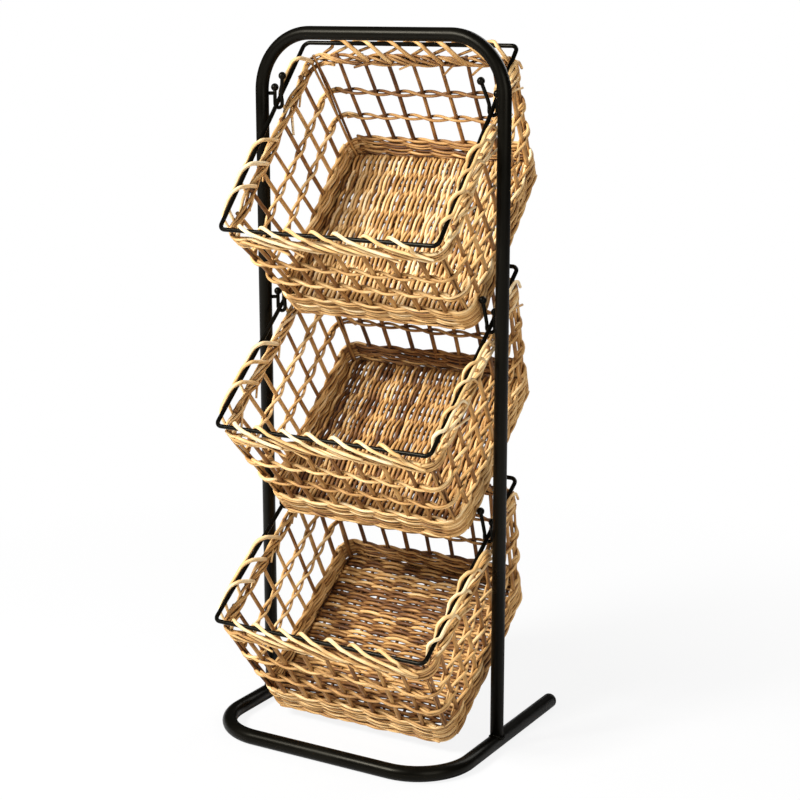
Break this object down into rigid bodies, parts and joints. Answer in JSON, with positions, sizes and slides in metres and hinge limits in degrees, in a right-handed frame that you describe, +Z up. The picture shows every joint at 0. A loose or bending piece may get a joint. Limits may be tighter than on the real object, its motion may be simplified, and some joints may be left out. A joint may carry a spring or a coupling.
{
  "type": "bread rack",
  "caption": "Free-standing bread rack: a bent black steel tube frame whose hooks carry tilted willow baskets with wire rims, open lattice walls and woven floors.",
  "frame": {"origin": "on the floor, in the middle of the outline seen from above", "axes": "+Z up, -Y the front that the baskets open to, +X to the right seen from the front"},
  "size_m": [0.5376, 0.4928, 1.3235],
  "materials": {
    "black_steel": "satin",
    "leg_caps": "matte",
    "willow": "satin",
    "willow_posts": "satin"
  },
  "bodies": {
    "frame": {"base_tube": "black_steel", "leg_cap_left": "leg_caps", "leg_cap_right": "leg_caps", "upright_tube": "black_steel", "top_hook_left": "black_steel", "top_hook_right": "black_steel", "middle_hook_left": "black_steel", "middle_hook_right": "black_steel", "bottom_hook_left": "black_steel", "bottom_hook_right": "black_steel"},
    "top_basket": {"top_rim_wire": "black_steel", "top_wall_front": "willow", "top_wall_back": "willow", "top_wall_left": "willow", "top_wall_right": "willow", "top_post_front_left": "willow_posts", "top_post_front_right": "willow_posts", "top_post_back_left": "willow_posts", "top_post_back_right": "willow_posts", "top_floor": "willow"},
    "middle_basket": {"middle_rim_wire": "black_steel", "middle_wall_front": "willow", "middle_wall_back": "willow", "middle_wall_left": "willow", "middle_wall_right": "willow", "middle_post_front_left": "willow_posts", "middle_post_front_right": "willow_posts", "middle_post_back_left": "willow_posts", "middle_post_back_right": "willow_posts", "middle_floor": "willow"},
    "bottom_basket": {"bottom_rim_wire": "black_steel", "bottom_wall_front": "willow", "bottom_wall_back": "willow", "bottom_wall_left": "willow", "bottom_wall_right": "willow", "bottom_post_front_left": "willow_posts", "bottom_post_front_right": "willow_posts", "bottom_post_back_left": "willow_posts", "bottom_post_back_right": "willow_posts", "bottom_floor": "willow"}
  },
  "joints": [
    {"name": "top_basket_swing", "type": "hinge", "parent": "frame", "child": "top_basket", "pos_m": [0, 0.0012, 1.173], "axis": [1, 0, 0], "range_deg": [-25, 1]},
    {"name": "middle_basket_swing", "type": "hinge", "parent": "frame", "child": "middle_basket", "pos_m": [0, 0.0012, 0.788], "axis": [1, 0, 0], "range_deg": [-25, 1]},
    {"name": "bottom_basket_swing", "type": "hinge", "parent": "frame", "child": "bottom_basket", "pos_m": [0, 0.0012, 0.3965], "axis": [1, 0, 0], "range_deg": [-25, 1]}
  ]
}
